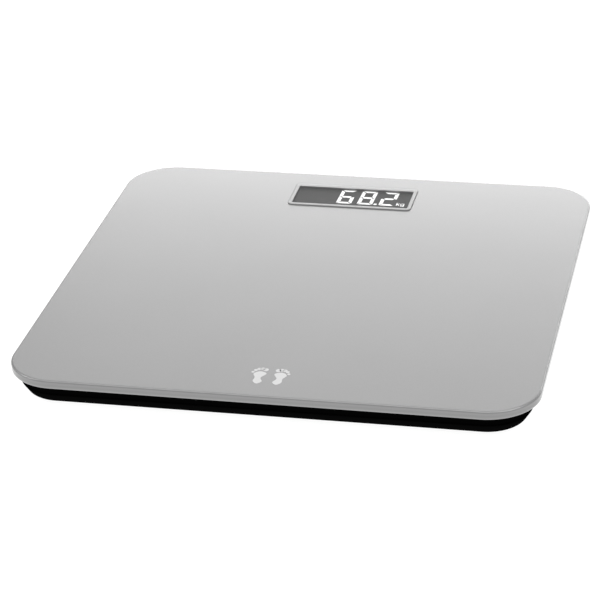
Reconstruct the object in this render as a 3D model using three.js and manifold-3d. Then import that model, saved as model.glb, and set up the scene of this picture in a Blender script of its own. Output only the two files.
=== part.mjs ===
// A digital bathroom scale: a tempered glass platform taped onto a shallow plastic tray that stands on
// four load cells. The display sits in a cut-out of the glass, above a circuit board, a coin cell and a
// unit button. Millimetres, +Z up, +Y towards the display, origin on the floor under the platform's middle.
import * as THREE from "three";
import { mergeVertices } from "three/addons/utils/BufferGeometryUtils.js";
import Module from "manifold-3d";

const wasm = await Module();
wasm.setup();

// ---------------------------------------------------------------- driving dimensions

const gap = 0.05; // between faces that rest on each other
const slide = 0.3; // around a piece that moves in a hole
const seat = 0.2; // around a piece that drops into a pocket
const overcut = 1; // how far a cutter runs past the face it cuts
const outlineSteps = 8; // in each corner of the platform's outline
const hiddenSteps = 4; // in each corner of the outlines under the glass

const round = { large: 24, small: 16, screw: 10, hole: 6, corner: 2 }; // sides of round pieces

const glass = { width: 300, depth: 300, corner: 30, thickness: 5, arris: 0.8 };
const tape = { thickness: 0.4, outerInset: 3.2, width: 9 };
const tray = {
  clearance: 3.4, // floor to underside
  height: 11.6,
  floor: 2,
  wall: 2,
  rimInset: 2.6, // outer face of the wall, in from the glass, at the rim
  waistInset: 5, // at the lip half-way down
  waistHeight: 5.8,
  grooveInset: 0.6,
  grooveHeight: 0.4,
  footInset: 8.4, // at the underside
  edge: 1, // rounding of the underside edge
};
const rib = { thickness: 1.6, height: 2.6, step: 0.4, ringInset: 11, gussets: 4, gussetDrop: 1 };
const foot = {
  radius: 21.5,
  flange: 1.7,
  flangeHeight: 1.2,
  play: 0.2, // between the flange and the tray floor
  padRadius: 18,
  padThickness: 2.4,
  padEdge: 0.5,
  padReach: 1, // how far the pad stands out of the cup
  cupFloor: 1.75,
  cupWall: 2,
};
const well = { room: 0.5, wall: 2, ringGap: 0.6, notchWidth: 7 };
const cell = { size: 33, corner: 3, thickness: 1.5, tongue: 13, slot: 2.2, frame: 5, lift: 4.75, hole: 1.6 };
const gauge = { length: 8, width: 6, thickness: 0.35 };
const cover = { thickness: 3.05, earThickness: 1.2, earWidth: 8, post: 4.5 };
const screw = { head: 2.4, headHeight: 1.4, shank: 1.1, length: 4.6, hole: 1.25, tip: 0.5, boss: 3.2 };
const lead = { radius: 1.2, steps: 12, sides: 6, endGap: 0.3 };

const bezel = {
  width: 78.6,
  depth: 32,
  corner: 2.6,
  backInset: 34, // from the back edge of the glass to the middle of the display
  rise: 0.7,
  openingWidth: 73.8,
  openingDepth: 25.2,
  openingCorner: 0.8,
  insideCorner: 0.8,
  skirt: 0.9,
  lip: 0.85,
  flange: 4.7,
  flangeCorner: 3,
  flangeThickness: 1.2,
};
const lens = { thickness: 0.5 };
const lcd = { thickness: 1.75, ledge: 2, ledgeThickness: 0.9 };
const guide = { thickness: 2, ledRoom: 2.6 };
const zebra = { width: 1.6, endRoom: 2 };
const led = { thickness: 1.8, width: 6 };
const board = { sideRoom: 8, frontRoom: 25, thickness: 1.2, corner: 2, coinRoom: 0.75, screwInset: 3.6 };
const coin = { radius: 10, thickness: 3.2, room: 0.5, collar: 2, lift: 0.45, frontRoom: 12 };
const door = {
  sideRoom: 4.8,
  latchRoom: 6,
  thickness: 2,
  pin: 0.6,
  pinLength: 1.4,
  pinRoom: 0.15,
  tab: 8,
  tabReach: 1.2,
  thumb: 9,
  thumbDepth: 1.3,
};
const button = {
  radius: 3,
  flange: 1.4,
  flangeHeight: 0.6,
  recess: 1.1, // behind the underside
  travel: 0.5,
  dish: 6.5,
  dishDepth: 0.8,
  x: 32,
};
const tactSwitch = { size: 6, height: 2.9, bore: 1.7, plunger: 1.6 };
const label = { width: 90, depth: 46, corner: 2, recess: 0.35, thickness: 0.2, margin: 0.4, y: -30 };

// ---------------------------------------------------------------- heights that follow

const underside = tray.clearance;
const trayFloor = underside + tray.floor;
const rim = underside + tray.height;
const tapeBottom = rim + gap;
const glassBottom = tapeBottom + tape.thickness + gap;
const glassTop = glassBottom + glass.thickness;
const bezelTop = glassTop + bezel.rise;
const lipBottom = bezelTop - bezel.lip;
const flangeBottom = rim - bezel.flangeThickness;
const lensBottom = lipBottom - gap - lens.thickness;
const lcdBottom = lensBottom - gap - lcd.thickness;
const guideBottom = lcdBottom - gap - guide.thickness;
const hingeZ = underside + gap + door.thickness / 2;
const doorTop = underside + gap + door.thickness;
const coinBottom = doorTop + coin.lift;
const coinTop = coinBottom + coin.thickness;
const boardBottom = coinTop + board.coinRoom;
const boardTop = boardBottom + board.thickness;
const displayY = glass.depth / 2 - bezel.backInset;
const wellTop = glassBottom - gap - cover.thickness - gap;
const cellReach = (cell.size / 2 - cell.corner) * Math.SQRT2 + cell.corner;
const wellRadius = Math.max(foot.radius + foot.flange, cellReach) + well.room;
const wellOuter = wellRadius + well.wall;
const cupBottom = foot.padReach;
const cupFloorTop = foot.padThickness + gap + foot.cupFloor;
const flangeUnder = trayFloor + foot.play;
const cellBottom = cupFloorTop + cell.lift;
const cellTop = cellBottom + cell.thickness;
const coverFace = wellTop + gap + cover.earThickness;
const coverScrewX = wellOuter + screw.head;
const ribRing = rib.ringInset + rib.thickness;
const leadHeight = trayFloor + rib.height + lead.radius + 2 * gap;

// ---------------------------------------------------------------- materials

function material(color, roughness, metalness = 0) {
  return new THREE.MeshStandardMaterial({ color, roughness, metalness });
}
const looks = {
  glass: material(0xc4c5c6, 0.12, 0.3),
  silver: material(0xd6d7d8, 0.3, 0.4),
  clear: material(0x6a6b6d, 0.1),
  lcd: material(0x5d5e60, 0.2),
  acrylic: material(0xe8eaec, 0.15),
  black: material(0x0c0c0d, 0.45),
  rubber: material(0x2a2a2b, 0.85),
  tape: material(0xe2e2dc, 0.9),
  steel: material(0xb4b6b8, 0.35, 1),
  cell: material(0x9a9da0, 0.4, 1),
  board: material(0x1f5a33, 0.5),
  chip: material(0x151515, 0.5),
  white: material(0xeeeeea, 0.6),
  label: material(0xb9babb, 0.5),
};

// ---------------------------------------------------------------- solids

/** A closed three.js geometry as a manifold solid. */
function solid(geometry) {
  const bare = geometry.index ? geometry.toNonIndexed() : geometry.clone();
  bare.deleteAttribute("normal");
  bare.deleteAttribute("uv");
  const merged = mergeVertices(bare, 1e-4);
  const vertProperties = merged.attributes.position.array;
  const triVerts = new Uint32Array(merged.index.array);
  return new wasm.Manifold(new wasm.Mesh({ numProp: 3, vertProperties, triVerts }));
}

function join(first, ...others) {
  return others.reduce((whole, piece) => whole.add(piece), first);
}

function cut(first, ...cutters) {
  return cutters.reduce((whole, cutter) => whole.subtract(cutter), first);
}

function geometryOf(made) {
  const mesh = made.getMesh();
  const positions = new THREE.BufferAttribute(new Float32Array(mesh.vertProperties), 3);
  const geometry = new THREE.BufferGeometry().setAttribute("position", positions);
  geometry.setIndex(new THREE.BufferAttribute(new Uint32Array(mesh.triVerts), 1));
  geometry.computeVertexNormals();
  return geometry;
}

/** The corner points of a rounded rectangle about the origin, counter-clockwise. */
function roundedPoints(width, depth, radius, steps) {
  const points = [];
  const signs = [[1, 1], [-1, 1], [-1, -1], [1, -1]];
  signs.forEach(([sx, sy], quarter) => {
    for (let i = 0; i <= steps; i++) {
      const angle = ((quarter + i / steps) * Math.PI) / 2;
      const x = sx * (width / 2 - radius) + radius * Math.cos(angle);
      const y = sy * (depth / 2 - radius) + radius * Math.sin(angle);
      points.push(new THREE.Vector2(x, y));
    }
  });
  return points;
}

/** An upright prism on an outline. */
function prism(points, bottom, top, x = 0, y = 0) {
  const shape = new THREE.Shape(points);
  const geometry = new THREE.ExtrudeGeometry(shape, { depth: top - bottom, bevelEnabled: false });
  return solid(geometry.translate(x, y, bottom));
}

function roundedBlock(width, depth, radius, bottom, top, x = 0, y = 0, steps = round.corner) {
  return prism(roundedPoints(width, depth, radius, steps), bottom, top, x, y);
}

function block(width, depth, bottom, top, x = 0, y = 0) {
  const geometry = new THREE.BoxGeometry(width, depth, top - bottom);
  return solid(geometry.translate(x, y, (bottom + top) / 2));
}

function disc(radius, bottom, top, x = 0, y = 0, sides = round.large) {
  const geometry = new THREE.CylinderGeometry(radius, radius, top - bottom, sides).rotateX(Math.PI / 2);
  return solid(geometry.translate(x, y, (bottom + top) / 2));
}

/** A solid of revolution about Z from its [radius, height] profile, which starts and ends on the axis. */
function turned(profile, sides = round.large) {
  const points = profile.map(([radius, height]) => new THREE.Vector2(radius, height));
  return solid(new THREE.LatheGeometry(points, sides).rotateX(Math.PI / 2));
}

/** A solid through the platform's outline at [inset, height] levels, from the lowest to the highest. */
function stacked(levels, steps) {
  const positions = [];
  const index = [];
  const rings = levels.map(([inset, height]) => {
    const [width, depth] = [glass.width - 2 * inset, glass.depth - 2 * inset];
    const points = roundedPoints(width, depth, glass.corner - inset, steps);
    return points.map((point) => positions.push(point.x, point.y, height) / 3 - 1);
  });
  const count = rings[0].length;
  for (let level = 0; level + 1 < rings.length; level++) {
    for (let i = 0; i < count; i++) {
      const next = (i + 1) % count;
      const [a, b] = [rings[level][i], rings[level][next]];
      const [c, d] = [rings[level + 1][i], rings[level + 1][next]];
      index.push(a, b, d, a, d, c);
    }
  }
  const [lowest, highest] = [rings[0], rings.at(-1)];
  const floorCentre = positions.push(0, 0, levels[0][1]) / 3 - 1;
  const roofCentre = positions.push(0, 0, levels.at(-1)[1]) / 3 - 1;
  for (let i = 0; i < count; i++) {
    const next = (i + 1) % count;
    index.push(lowest[next], lowest[i], floorCentre, highest[i], highest[next], roofCentre);
  }
  const geometry = new THREE.BufferGeometry();
  geometry.setAttribute("position", new THREE.Float32BufferAttribute(positions, 3));
  return solid(geometry.setIndex(index));
}

/** A flat band that follows the platform's outline between two insets. */
function band(outerInset, innerInset, bottom, top, steps) {
  const outer = stacked([[outerInset, bottom], [outerInset, top]], steps);
  return cut(outer, stacked([[innerInset, bottom - overcut], [innerInset, top + overcut]], steps));
}

/** A tube with flat ends along a smooth curve through points. */
function tube(points, radius) {
  const curve = new THREE.CatmullRomCurve3(points, false, "centripetal");
  const section = new THREE.Shape();
  for (let i = 0; i < lead.sides; i++) {
    const angle = (i * 2 * Math.PI) / lead.sides;
    const [x, y] = [radius * Math.cos(angle), radius * Math.sin(angle)];
    if (i === 0) section.moveTo(x, y);
    else section.lineTo(x, y);
  }
  return solid(new THREE.ExtrudeGeometry(section, { steps: lead.steps, extrudePath: curve }));
}

const scale = new THREE.Group();

function add(name, made, look, parent = scale) {
  const mesh = new THREE.Mesh(geometryOf(made), look);
  mesh.name = name;
  parent.add(mesh);
}

// ---------------------------------------------------------------- places

const wellInset = ribRing + well.ringGap + wellOuter;
const footPlaces = [
  { name: "front_left", x: -1, y: -1 },
  { name: "front_right", x: 1, y: -1 },
  { name: "rear_left", x: -1, y: 1 },
  { name: "rear_right", x: 1, y: 1 },
].map(({ name, x, y }) => {
  const place = new THREE.Group();
  place.position.set(x * (glass.width / 2 - wellInset), y * (glass.depth / 2 - wellInset), 0);
  place.rotation.z = Math.atan2(-y, -x); // each foot's own +X points to the middle of the scale
  place.updateMatrixWorld(true);
  scale.add(place);
  return { name, place };
});

/** A solid made in a foot's own frame, moved into the frame of the scale. */
function atFoot(made, place) {
  return solid(geometryOf(made).applyMatrix4(place.matrixWorld));
}

const boardWidth = bezel.width + 2 * bezel.flange + 2 * board.sideRoom;
const boardBack = displayY + bezel.depth / 2 + bezel.flange;
const boardFront = displayY - bezel.depth / 2 - board.frontRoom;
const boardDepth = boardBack - boardFront;
const boardY = (boardBack + boardFront) / 2;
const boardScrews = [[-1, -1], [1, -1], [-1, 1], [1, 1]].map(([x, y]) => [
  x * (boardWidth / 2 - board.screwInset),
  boardY + y * (boardDepth / 2 - board.screwInset),
]);
const coinY = boardFront + coin.frontRoom;
const doorWidth = 2 * (coin.radius + door.sideRoom);
const doorDepth = doorWidth + door.latchRoom;
const hingeY = coinY - doorDepth / 2 + door.thickness / 2;
const buttonTop = trayFloor + gap + button.flangeHeight;

/** The route of a load cell's lead, from the cell's root to the nearest edge of the circuit board. */
function leadRoute(place) {
  const world = (x, height) => new THREE.Vector3(x, 0, height).applyMatrix4(place.matrixWorld);
  const side = Math.sign(place.position.x);
  const edgeX = boardWidth / 2 + lead.endGap;
  const edgeY = boardFront - lead.endGap;
  const exit = cell.size / 2 + lead.endGap;
  const lastPoints =
    place.position.y > 0
      ? [[edgeX + 14, boardY + 6], [edgeX, boardY + 12]]
      : [[edgeX - 4, edgeY - 60], [edgeX - 18, edgeY]];
  return [
    world(exit, cellTop - lead.radius),
    world(exit + 16, leadHeight),
    ...lastPoints.map(([x, y]) => new THREE.Vector3(side * x, y, leadHeight)),
  ];
}

// ---------------------------------------------------------------- platform

function glassPlatform() {
  const { arris } = glass;
  const levels = [0, 30, 60, 90].map((degrees) => {
    const angle = THREE.MathUtils.degToRad(degrees);
    return [arris * (1 - Math.sin(angle)), arris * (1 - Math.cos(angle))];
  });
  const lower = levels.map(([inset, height]) => [inset, glassBottom + height]);
  const upper = levels.map(([inset, height]) => [inset, glassTop - height]).reverse();
  const cutOut = roundedBlock(
    bezel.width + 2 * slide,
    bezel.depth + 2 * slide,
    bezel.corner + slide,
    glassBottom - overcut,
    glassTop + overcut,
    0,
    displayY,
  );
  return cut(stacked([...lower, ...upper], outlineSteps), cutOut);
}

function platformTape() {
  const top = tapeBottom + tape.thickness;
  return band(tape.outerInset, tape.outerInset + tape.width, tapeBottom, top, hiddenSteps);
}

// ---------------------------------------------------------------- tray

/** The tray's outer form: a tapered dish with a lip half-way up and a groove above it. */
function trayForm() {
  const waist = underside + tray.waistHeight;
  const levels = [
    [tray.footInset + tray.edge, underside],
    [tray.footInset + 0.3 * tray.edge, underside + 0.3 * tray.edge],
    [tray.footInset - 0.35 * tray.edge, underside + tray.edge],
    [tray.waistInset, waist],
    [tray.waistInset + tray.grooveInset, waist + tray.grooveHeight],
    [tray.rimInset, rim],
  ];
  return stacked(levels, outlineSteps);
}

function trayCavity() {
  const slope = (tray.footInset - tray.rimInset) / tray.height;
  const rimLevel = [tray.rimInset + tray.wall, rim];
  const floorLevel = [rimLevel[0] + slope * (tray.height - tray.floor) + 0.5, trayFloor];
  const openLevel = [rimLevel[0] - slope * overcut, rim + overcut];
  return stacked([floorLevel, openLevel], hiddenSteps);
}

/** A gusset between the tray's wall and the inner ring, made at the front edge. */
function gusset() {
  const profile = [
    [tray.footInset, trayFloor - gap],
    [ribRing - rib.thickness / 2, trayFloor - gap],
    [ribRing - rib.thickness / 2, rim - rib.gussetDrop],
    [tray.rimInset + tray.wall / 2, rim - rib.gussetDrop],
  ];
  const shape = new THREE.Shape(profile.map(([inset, height]) => new THREE.Vector2(inset, height)));
  const geometry = new THREE.ExtrudeGeometry(shape, { depth: rib.thickness, bevelEnabled: false });
  return geometry.translate(0, 0, -rib.thickness / 2).rotateX(Math.PI / 2).rotateZ(Math.PI / 2);
}

function gussets() {
  const pieces = [];
  for (let side = 0; side < 4; side++) {
    const [across, along] = side % 2 ? [glass.depth, glass.width] : [glass.width, glass.depth];
    for (let i = 0; i < rib.gussets; i++) {
      const x = ((i + 0.5) / rib.gussets - 0.5) * (across - 2 * glass.corner);
      const piece = gusset().translate(x, -along / 2, 0);
      pieces.push(solid(piece.rotateZ((side * Math.PI) / 2)));
    }
  }
  return join(...pieces);
}

/** Low ribs that stiffen the floor in front of the circuit board. */
function floorRibs() {
  const top = trayFloor + rib.height;
  const reach = glass.width - 2 * rib.ringInset - rib.thickness;
  const front = -(glass.depth / 2 - rib.ringInset - rib.thickness / 2);
  const back = boardFront - 6;
  const length = back - front;
  const across = [0.2, 0.5, 0.8].map((share) =>
    block(reach, rib.thickness, trayFloor - gap, top, 0, front + share * length),
  );
  const along = [-0.22, 0, 0.22].map((share) =>
    block(rib.thickness, length, trayFloor - gap, top - rib.step, share * glass.width, (front + back) / 2),
  );
  return join(...across, ...along);
}

/** The round wall around a foot, with its two screw bosses. */
function footWell() {
  const wall = disc(wellOuter, trayFloor - gap, wellTop);
  const bosses = [-1, 1].map((side) =>
    disc(screw.boss, trayFloor - gap, wellTop, 0, side * coverScrewX, round.small),
  );
  return join(wall, ...bosses);
}

/** What a foot takes out of the tray: its shaft, its well, its screw holes and the notch for its lead. */
function footRoom() {
  const shaft = disc(foot.radius + slide, underside - overcut, wellTop);
  const room = disc(wellRadius, trayFloor, wellTop + overcut);
  const holes = [-1, 1].map((side) => screwHole(coverFace, 0, side * coverScrewX));
  const notch = block(12, well.notchWidth, leadHeight - 2 * lead.radius, wellTop + overcut, wellOuter, 0);
  return join(shaft, room, notch, ...holes);
}

/** A round bar along the battery door's hinge line. */
function hingeBar(radius, length) {
  const geometry = new THREE.CylinderGeometry(radius, radius, length, round.small);
  return solid(geometry.rotateZ(Math.PI / 2).translate(0, hingeY, hingeZ));
}

/** The thick frame of the battery compartment with the collar that holds the coin cell. */
function batteryFrame() {
  const frameTop = trayFloor + tray.floor;
  const frame = block(doorWidth + 10, doorDepth + 8, underside + 0.5, frameTop, 0, coinY);
  const collar = disc(coin.radius + coin.room + coin.collar, trayFloor, coinTop, 0, coinY);
  return join(frame, collar);
}

function batteryRoom() {
  const recessTop = doorTop + gap;
  const [recessWidth, recessDepth] = [doorWidth + 2 * seat, doorDepth + 2 * seat];
  const recess = block(recessWidth, recessDepth, underside - overcut, recessTop, 0, coinY);
  const bore = disc(coin.radius + coin.room, underside, coinTop + overcut, 0, coinY);
  const pins = hingeBar(door.pin + door.pinRoom, doorWidth + 2 * (door.pinLength + seat));
  const tabEnd = coinY + doorDepth / 2 + door.tabReach + seat;
  const tabNotch = block(door.tab + 2 * seat, 6, underside - overcut, recessTop, 0, tabEnd - 3);
  const thumb = disc(door.thumb, underside - overcut, underside + door.thumbDepth, 0, tabEnd);
  const contact = block(4, 7.2, trayFloor, coinTop + overcut, coin.radius + 1.9, coinY);
  return join(recess, bore, pins, tabNotch, thumb, contact);
}

/** The hole for the unit button, at the bottom of a shallow dish. */
function buttonRoom() {
  const dishTop = underside + button.dishDepth;
  const dish = disc(button.dish, underside - overcut, dishTop, button.x, coinY);
  const hole = disc(button.radius + slide, underside, trayFloor + overcut, button.x, coinY, round.small);
  return join(dish, hole);
}

function boardPosts() {
  const posts = boardScrews.map(([x, y]) =>
    disc(screw.boss, trayFloor - gap, boardBottom - gap, x, y, round.small),
  );
  return join(...posts);
}

function boardHoles() {
  return join(...boardScrews.map(([x, y]) => screwHole(boardTop, x, y)));
}

function baseTray() {
  const labelRecess = roundedBlock(
    label.width,
    label.depth,
    label.corner,
    underside - overcut,
    underside + label.recess,
    0,
    label.y,
  );
  const inner = band(rib.ringInset, ribRing, trayFloor - gap, rim, hiddenSteps);
  const wells = footPlaces.map(({ place }) => atFoot(footWell(), place));
  const rooms = footPlaces.map(({ place }) => atFoot(footRoom(), place));
  const shell = cut(trayForm(), trayCavity());
  const built = join(shell, inner, gussets(), floorRibs(), batteryFrame(), boardPosts(), ...wells);
  return cut(built, batteryRoom(), buttonRoom(), boardHoles(), labelRecess, ...rooms);
}

function ratingLabel() {
  const top = underside + label.recess - gap;
  const size = [label.width - 2 * label.margin, label.depth - 2 * label.margin];
  return roundedBlock(...size, label.corner, top - label.thickness, top, 0, label.y);
}

// ---------------------------------------------------------------- screws

/** A pan-head screw whose head stands on a face at the given height. */
function panScrew(face, x, y) {
  const bottom = face + gap;
  const head = disc(screw.head, bottom, bottom + screw.headHeight, x, y, round.screw);
  const shank = disc(screw.shank, bottom - screw.length, bottom + gap, x, y, round.hole);
  return join(head, shank);
}

/** The room for a screw below and a little above the face that it holds down. */
function screwHole(face, x, y) {
  return disc(screw.hole, face + gap - screw.length - screw.tip, face + overcut, x, y, round.hole);
}

// ---------------------------------------------------------------- feet

/** The cup that slides in the tray, carries the rubber pad below and the load cell's frame above. */
function footCup() {
  const flangeTop = flangeUnder + foot.flangeHeight;
  const body = disc(foot.radius, cupBottom, flangeTop);
  const flange = disc(foot.radius + foot.flange, flangeUnder, flangeTop);
  const hollow = disc(foot.radius - foot.cupWall, cupFloorTop, flangeTop + overcut);
  const padRoom = disc(foot.padRadius + seat, cupBottom - overcut, foot.padThickness + gap);
  const railY = (cell.size - cell.frame) / 2;
  const rails = [-1, 1].map((side) =>
    block(0.7 * cell.size, cell.frame - 1, cupFloorTop - gap, cellBottom - gap, 0, side * railY),
  );
  const within = disc(foot.radius, cupFloorTop - gap, cellBottom);
  return join(cut(join(body, flange), hollow, padRoom), join(...rails).intersect(within));
}

function footPad() {
  return turned([
    [0, 0],
    [foot.padRadius - foot.padEdge, 0],
    [foot.padRadius, foot.padEdge],
    [foot.padRadius, foot.padThickness],
    [0, foot.padThickness],
  ]);
}

/** A pressed steel plate whose tongue, cut free on three sides, bends when the frame is pushed up. */
function loadCell() {
  const plate = roundedBlock(cell.size, cell.size, cell.corner, cellBottom, cellTop);
  const length = cell.size - 2 * cell.frame;
  const slotY = cell.tongue / 2 + cell.slot / 2;
  const [low, high] = [cellBottom - overcut, cellTop + overcut];
  const slots = [-1, 1].map((side) => block(length, cell.slot, low, high, 0, side * slotY));
  const end = block(cell.slot, cell.tongue + 2 * cell.slot, low, high, (cell.slot - length) / 2);
  const holeX = (cell.frame - cell.size) / 2;
  const holes = [-1, 1].map((side) => disc(cell.hole, low, high, holeX, side * 9, round.screw));
  return cut(plate, ...slots, end, ...holes);
}

function strainGauge() {
  const bottom = cellBottom - gap - gauge.thickness;
  return block(gauge.length, gauge.width, bottom, cellBottom - gap, cell.tongue / 2);
}

/** The plate that closes a well and brings the glass's weight down its post onto the tongue. */
function cellCover() {
  const bottom = wellTop + gap;
  const earLength = 2 * (coverScrewX + screw.boss);
  const ear = roundedBlock(cover.earWidth, earLength, cover.earWidth / 2 - gap, bottom, coverFace);
  const plate = disc(wellOuter, bottom, glassBottom - gap);
  const post = disc(cover.post, cellTop + gap, bottom + gap, 0, 0, round.small);
  const rooms = [-1, 1].flatMap((side) => [
    disc(screw.head + slide, coverFace, glassBottom + overcut, 0, side * coverScrewX, round.screw),
    screwHole(coverFace, 0, side * coverScrewX),
  ]);
  return cut(join(plate, ear, post), ...rooms);
}

function addFeet() {
  for (const { name, place } of footPlaces) {
    add(`foot_cup_${name}`, footCup(), looks.black, place);
    add(`foot_pad_${name}`, footPad(), looks.rubber, place);
    add(`load_cell_${name}`, loadCell(), looks.cell, place);
    add(`strain_gauge_${name}`, strainGauge(), looks.white, place);
    add(`cell_cover_${name}`, cellCover(), looks.black, place);
    add(`cell_lead_${name}`, tube(leadRoute(place), lead.radius), looks.white);
    add(`cover_screw_a_${name}`, panScrew(coverFace, 0, -coverScrewX), looks.steel, place);
    add(`cover_screw_b_${name}`, panScrew(coverFace, 0, coverScrewX), looks.steel, place);
  }
}

// ---------------------------------------------------------------- display

const skirtWidth = bezel.width - 2 * bezel.skirt;
const skirtDepth = bezel.depth - 2 * bezel.skirt;
const flangeWidth = bezel.width + 2 * bezel.flange;
const flangeDepth = bezel.depth + 2 * bezel.flange;
const stackWidth = skirtWidth - 2 * seat;
const stackDepth = skirtDepth - 2 * seat;
const stackFront = displayY - stackDepth / 2;
const guideWidth = stackWidth - guide.ledRoom;
const guideX = guide.ledRoom / 2;
const guideDepth = stackDepth - lcd.ledge - seat;
const guideY = displayY + (lcd.ledge + seat) / 2;
const ledX = guideX - guideWidth / 2 - seat - led.thickness / 2;
const zebraY = stackFront + lcd.ledge / 2;
const zebraLength = stackWidth - 2 * zebra.endRoom;

/** A block of the display stack, whose corners follow the inside of the surround. */
function stackBlock(width, depth, bottom, top, x = 0, y = displayY) {
  return roundedBlock(width, depth, bezel.insideCorner, bottom, top, x, y);
}

/** The silver surround: a rim through the glass, a lip over the lens and a flange bonded under the glass. */
function displayBezel() {
  const rimBlock = roundedBlock(bezel.width, bezel.depth, bezel.corner, flangeBottom, bezelTop, 0, displayY);
  const flange = roundedBlock(flangeWidth, flangeDepth, bezel.flangeCorner, flangeBottom, rim, 0, displayY);
  const opening = roundedBlock(
    bezel.openingWidth,
    bezel.openingDepth,
    bezel.openingCorner,
    lipBottom - overcut,
    bezelTop + overcut,
    0,
    displayY,
  );
  const inside = stackBlock(skirtWidth, skirtDepth, flangeBottom - overcut, lipBottom);
  return cut(join(rimBlock, flange), opening, inside);
}

function displayTape() {
  const top = tapeBottom + tape.thickness;
  const outer = roundedBlock(flangeWidth, flangeDepth, bezel.flangeCorner, tapeBottom, top, 0, displayY);
  const inner = roundedBlock(
    bezel.width + 2 * slide,
    bezel.depth + 2 * slide,
    bezel.corner,
    tapeBottom - overcut,
    glassBottom + overcut,
    0,
    displayY,
  );
  return cut(outer, inner);
}

function displayWindow() {
  return stackBlock(stackWidth, stackDepth, lensBottom, lensBottom + lens.thickness);
}

/** Two bonded glasses, the lower one longer at the front where its contacts are. */
function lcdPanel() {
  const ledgeTop = lcdBottom + lcd.ledgeThickness;
  const whole = stackBlock(stackWidth, stackDepth, lcdBottom, lcdBottom + lcd.thickness);
  const frontY = stackFront - overcut;
  const step = block(stackWidth + overcut, 2 * (lcd.ledge + overcut), ledgeTop, lensBottom, 0, frontY);
  return cut(whole, step);
}

function backlightGuide() {
  return stackBlock(guideWidth, guideDepth, guideBottom, guideBottom + guide.thickness, guideX, guideY);
}

function backlightLed() {
  return block(led.thickness, led.width, boardTop + gap, guideBottom + guide.thickness - 0.2, ledX, guideY);
}

function zebraConnector() {
  return block(zebraLength, zebra.width, boardTop + gap, lcdBottom - gap, 0, zebraY);
}

/** The carrier between the circuit board and the light guide, slotted for the connector and the lamp. */
function lcdFrame() {
  const [baseTop, plinthTop] = [flangeBottom - gap, guideBottom - gap];
  const baseBottom = boardTop + gap;
  const base = roundedBlock(flangeWidth, flangeDepth, bezel.flangeCorner, baseBottom, baseTop, 0, displayY);
  const plinth = stackBlock(stackWidth - seat, guideDepth, baseTop - gap, plinthTop, 0, guideY);
  const low = boardTop - overcut;
  const connectorSlot = block(zebraLength + 2 * seat, zebra.width + 2 * seat, low, guideBottom, 0, zebraY);
  const ledSlot = block(led.thickness + 2 * seat, led.width + 2 * seat, low, guideBottom, ledX, guideY);
  return cut(join(base, plinth), connectorSlot, ledSlot);
}

// ---------------------------------------------------------------- electronics

function mainBoard() {
  const plate = roundedBlock(boardWidth, boardDepth, board.corner, boardBottom, boardTop, 0, boardY);
  return cut(plate, boardHoles());
}

const underBoard = boardBottom - gap; // the top of the pieces soldered below the board

function controllerChip() {
  const [radius, height] = [5.5, 1.4];
  return turned(
    [
      [0, underBoard - height],
      [0.6 * radius, underBoard - 0.9 * height],
      [0.9 * radius, underBoard - 0.5 * height],
      [radius, underBoard],
      [0, underBoard],
    ],
    round.small,
  ).translate([-32, coinY, 0]);
}

function amplifierChip() {
  const body = block(10, 4, underBoard - 1.6, underBoard - 0.1, -32, coinY + 16);
  const legs = [];
  for (let i = 0; i < 8; i++) {
    legs.push(block(0.45, 6, underBoard - 0.8, underBoard, -32 - 4.445 + i * 1.27, coinY + 16));
  }
  return join(body, ...legs);
}

function boardCapacitor() {
  return disc(2, underBoard - 3.6, underBoard, -24, coinY + 9, round.small);
}

function crystal() {
  return roundedBlock(10.6, 4.4, 2.1, underBoard - 3.2, underBoard, button.x, coinY + 16);
}

function unitSwitchBody() {
  const bottom = underBoard - tactSwitch.height;
  const body = block(tactSwitch.size, tactSwitch.size, bottom, underBoard, button.x, coinY);
  const bore = disc(
    tactSwitch.plunger + slide / 2,
    bottom - overcut,
    bottom + tactSwitch.bore,
    button.x,
    coinY,
    round.small,
  );
  return cut(body, bore);
}

function unitSwitchPlunger() {
  const top = underBoard - tactSwitch.height + tactSwitch.bore - button.travel - seat;
  return disc(tactSwitch.plunger, buttonTop + gap, top, button.x, coinY, round.small);
}

function unitButton() {
  const stem = disc(button.radius, underside + button.recess, buttonTop, button.x, coinY, round.small);
  const flangeRadius = button.radius + button.flange;
  const flange = disc(flangeRadius, trayFloor + gap, buttonTop, button.x, coinY, round.small);
  return join(stem, flange);
}

// ---------------------------------------------------------------- battery

function coinCell() {
  const [low, high] = [coinBottom, coinTop];
  return turned([
    [0, low],
    [coin.radius - 0.4, low],
    [coin.radius, low + 0.4],
    [coin.radius, high - 0.8],
    [coin.radius - 0.6, high - 0.5],
    [coin.radius - 1.6, high - 0.5],
    [coin.radius - 1.8, high],
    [0, high],
  ]).translate([0, coinY, 0]);
}

/** A sprung strip under the circuit board that dips onto the cell's small face. */
function negativeContact() {
  const [thickness, width] = [0.22, 5];
  const high = underBoard - thickness;
  const low = coinTop + gap;
  const reach = coin.radius + 3.4;
  const line = [[-reach, high], [-reach + 3, high], [-3, low], [3, low], [reach - 3, high], [reach, high]];
  const upper = line.map(([y, z]) => new THREE.Vector2(y, z + thickness));
  const shape = new THREE.Shape([...line.map(([y, z]) => new THREE.Vector2(y, z)), ...upper.reverse()]);
  const geometry = new THREE.ExtrudeGeometry(shape, { depth: width, bevelEnabled: false });
  geometry.translate(0, 0, -width / 2).rotateX(Math.PI / 2).rotateZ(Math.PI / 2);
  return solid(geometry.translate(0, coinY, 0));
}

/** A clip that hangs down beside the cell and touches its rim. */
function positiveContact() {
  const thickness = 0.3;
  const x = coin.radius + gap;
  const leaf = block(thickness, 6, coinBottom + 0.4, underBoard, x + thickness / 2, coinY);
  const tab = block(3.4, 6, underBoard - thickness, underBoard, x + 1.7, coinY);
  return join(leaf, tab);
}

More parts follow.
